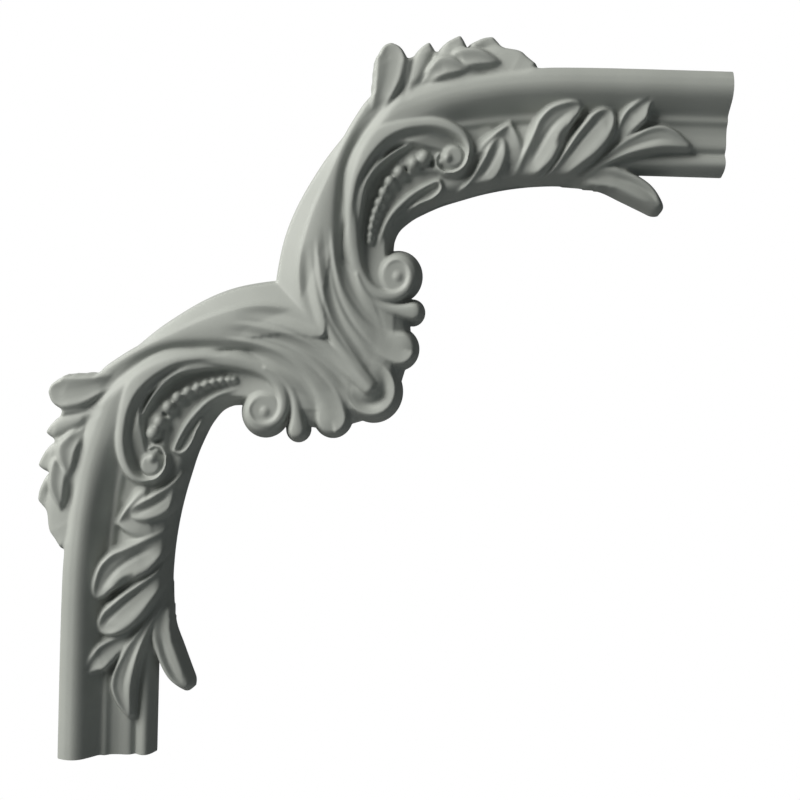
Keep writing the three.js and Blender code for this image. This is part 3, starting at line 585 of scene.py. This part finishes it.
def outline_faces(lines, heights, insides, numbers):
    """The outline's own points, the faces along it, and which of the points follows which."""
    within = numbers >= 0
    corners = np.stack([within[:-1, :-1], within[1:, :-1], within[1:, 1:], within[:-1, 1:]])
    first = within.sum()
    points, faces, known, follows = [], [], {}, {}

    def crossing(p, q):
        """The outline's point between the neighbours p, within, and q, outside."""
        if (p, q) not in known:
            t = insides[p] / (insides[p] - insides[q])
            a = lines[p[0]] + (lines[q[0]] - lines[p[0]]) * t
            b = lines[p[1]] + (lines[q[1]] - lines[p[1]]) * t
            points.append(place(a, b, heights[p] + (heights[q] - heights[p]) * t))
            known[p, q] = int(first + len(points) - 1)
        return known[p, q]

    for u, v in zip(*np.nonzero(corners.any(axis=0) & ~corners.all(axis=0))):
        around = [(u, v), (u, v + 1), (u + 1, v + 1), (u + 1, v)]
        face, leaving, entering = [], [], []
        for p, q in zip(around, around[1:] + around[:1]):
            if within[p]:
                face.append(int(numbers[p]))
            if within[p] and not within[q]:
                leaving.append((len(face), crossing(p, q)))
                face.append(crossing(p, q))
            if within[q] and not within[p]:
                entering.append((len(face), crossing(q, p)))
                face.append(crossing(q, p))
        for position, point in leaving:
            later = [e for e in entering if e[0] > position] or entering
            follows[point] = later[0][1]
        faces.append(face)
    return points, faces, follows


def outline_loop(follows):
    """The outline's points in order; a hole or an island would leave some over."""
    start = min(follows)
    loop = [start]
    while follows[loop[-1]] != start:
        loop.append(follows[loop[-1]])
    if len(loop) != len(follows):
        raise ValueError(f"the outline is not one loop: {len(loop)} of {len(follows)} points")
    return loop


def relief_mesh():
    """The casting as one closed mesh: the carved front, the foot of its walls, and the flat back."""
    lines, heights, insides = relief_grid()
    within = insides > 0
    numbers = np.full(within.shape, -1)
    numbers[within] = np.arange(within.sum())
    a, b = np.meshgrid(lines, lines, indexing="ij")
    points = place(a[within], b[within], heights[within])
    quads = np.stack([numbers[:-1, :-1], numbers[:-1, 1:], numbers[1:, 1:], numbers[1:, :-1]], axis=-1)
    faces = quads[(quads >= 0).all(axis=-1)].tolist()
    rim, rim_faces, follows = outline_faces(lines, heights, insides, numbers)
    loop = outline_loop(follows)
    points = np.vstack([points, rim])
    back = points[loop] * (1, 0, 1)
    below = {top: len(points) + k for k, top in enumerate(loop)}
    skirt = [[p, q, below[q], below[p]] for p, q in zip(loop, loop[1:] + loop[:1])]
    back_face = [below[p] for p in reversed(loop)]
    mesh = bpy.data.meshes.new("corner_relief")
    mesh.from_pydata(np.vstack([points, back]).tolist(), [], faces + rim_faces + skirt + [back_face])
    mesh.validate()
    return mesh


def thinned(piece, most_faces):
    """Fewer faces where the surface is flat, as many as the limit allows."""
    piece.data.calc_loop_triangles()
    thin = piece.modifiers.new("thin", "DECIMATE")
    thin.ratio = min(1, most_faces / len(piece.data.loop_triangles))
    depsgraph = bpy.context.evaluated_depsgraph_get()
    mesh = bpy.data.meshes.new_from_object(piece.evaluated_get(depsgraph))
    piece.modifiers.clear()
    piece.data = mesh


def add_corner():
    """The whole casting in its finish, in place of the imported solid."""
    piece = bpy.data.objects.new("corner_relief", relief_mesh())
    bpy.context.scene.collection.objects.link(piece)
    thinned(piece, MOST_FACES)
    piece.data.shade_smooth()
    piece.data.set_sharp_from_angle(angle=np.radians(CREASE_ANGLE))
    piece.data.materials.append(cast_resin())
    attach(piece, "root")
    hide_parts("moulding_corner")


# The finish

def cast_resin():
    """Grey-green primed resin: a soft sheen, faint clouds of tone, and the fine grain of a cast."""
    material = bpy.data.materials.new("cast_resin")
    material.use_nodes = True
    nodes, links = material.node_tree.nodes, material.node_tree.links
    surface = nodes["Principled BSDF"]
    surface.inputs["Specular IOR Level"].default_value = 0.3

    where = nodes.new("ShaderNodeTexCoord")
    clouds = nodes.new("ShaderNodeTexNoise")
    clouds.inputs["Scale"].default_value = 22
    clouds.inputs["Detail"].default_value = 5
    clouds.inputs["Roughness"].default_value = 0.55
    links.new(where.outputs["Object"], clouds.inputs["Vector"])
    tone = nodes.new("ShaderNodeValToRGB")
    tone.color_ramp.elements[0].position = 0.35
    tone.color_ramp.elements[0].color = (0.375, 0.392, 0.372, 1)
    tone.color_ramp.elements[1].position = 0.68
    tone.color_ramp.elements[1].color = (0.425, 0.443, 0.420, 1)
    links.new(clouds.outputs["Fac"], tone.inputs["Fac"])
    links.new(tone.outputs["Color"], surface.inputs["Base Color"])

    sheen = nodes.new("ShaderNodeMapRange")
    sheen.inputs["To Min"].default_value = 0.46
    sheen.inputs["To Max"].default_value = 0.58
    links.new(clouds.outputs["Fac"], sheen.inputs["Value"])
    links.new(sheen.outputs["Result"], surface.inputs["Roughness"])

    grain = nodes.new("ShaderNodeTexNoise")
    grain.inputs["Scale"].default_value = 900
    grain.inputs["Detail"].default_value = 3
    links.new(where.outputs["Object"], grain.inputs["Vector"])
    bump = nodes.new("ShaderNodeBump")
    bump.inputs["Strength"].default_value = 0.10
    bump.inputs["Distance"].default_value = 0.0004
    links.new(grain.outputs["Fac"], bump.inputs["Height"])
    links.new(bump.outputs["Normal"], surface.inputs["Normal"])
    return material


# Light, floor and camera

def add_lamp(name, towards_light, distance, size, watts, colour):
    """A square lamp that hangs in a direction from the piece and faces it."""
    lamp = bpy.data.lights.new(name, "AREA")
    lamp.size = size
    lamp.energy = watts
    lamp.color = colour
    holder = bpy.data.objects.new(name, lamp)
    direction = Vector(towards_light).normalized()
    holder.location = direction * distance
    holder.rotation_euler = direction.to_track_quat("Z", "Y").to_euler()
    bpy.context.scene.collection.objects.link(holder)


def add_world():
    """A pale backdrop that is seen but gives only a little light of its own."""
    world = bpy.data.worlds.new("studio")
    world.use_nodes = True
    nodes, links = world.node_tree.nodes, world.node_tree.links
    seen = nodes.new("ShaderNodeBackground")
    seen.inputs["Color"].default_value = (1, 1, 1, 1)
    dim = nodes["Background"]
    dim.inputs["Color"].default_value = (0.94, 0.97, 0.93, 1)
    dim.inputs["Strength"].default_value = 0.10
    path = nodes.new("ShaderNodeLightPath")
    either = nodes.new("ShaderNodeMixShader")
    links.new(path.outputs["Is Camera Ray"], either.inputs["Fac"])
    links.new(dim.outputs["Background"], either.inputs[1])
    links.new(seen.outputs["Background"], either.inputs[2])
    links.new(either.outputs["Shader"], nodes["World Output"].inputs["Surface"])
    bpy.context.scene.world = world


def add_floor():
    """A pale floor well below the piece, out of the main view."""
    mesh = bpy.data.meshes.new("floor")
    half = 0.6
    level = low_corner[2] - 1.2
    corners = [(-half, -half, level), (half, -half, level), (half, half, level), (-half, half, level)]
    mesh.from_pydata(corners, [], [(0, 1, 2, 3)])
    floor = bpy.data.objects.new("floor", mesh)
    material = bpy.data.materials.new("pale_floor")
    material.use_nodes = True
    material.node_tree.nodes["Principled BSDF"].inputs["Base Color"].default_value = (0.8, 0.8, 0.8, 1)
    mesh.materials.append(material)
    bpy.context.scene.collection.objects.link(floor)


def add_camera():
    """The photograph's view: from just below the middle, with a slight roll."""
    lens = bpy.data.cameras.new("camera")
    lens.sensor_width = 36
    lens.lens = 58.5
    camera = bpy.data.objects.new("camera", lens)
    camera.location = (0.02746, -0.56608, -0.01685)
    camera.rotation_euler = np.radians((89.2346, -1.5623, -0.3396))
    bpy.context.scene.collection.objects.link(camera)
    bpy.context.scene.camera = camera


bpy.context.scene.view_settings.view_transform = "Standard"
add_corner()
add_world()
add_lamp("key", (-0.74, -0.42, 0.50), 2.2, 1.6, 75, (1.0, 0.99, 0.945))
add_lamp("fill", (0.6, -0.6, -0.5), 2.0, 1.2, 1.0, (0.66, 0.86, 1.0))
# the third lamp lights the flat back
add_lamp("behind", (-0.9, 0.8, 0.6), 2.2, 1.2, 11, (1.0, 1.0, 0.98))
add_floor()
add_camera()
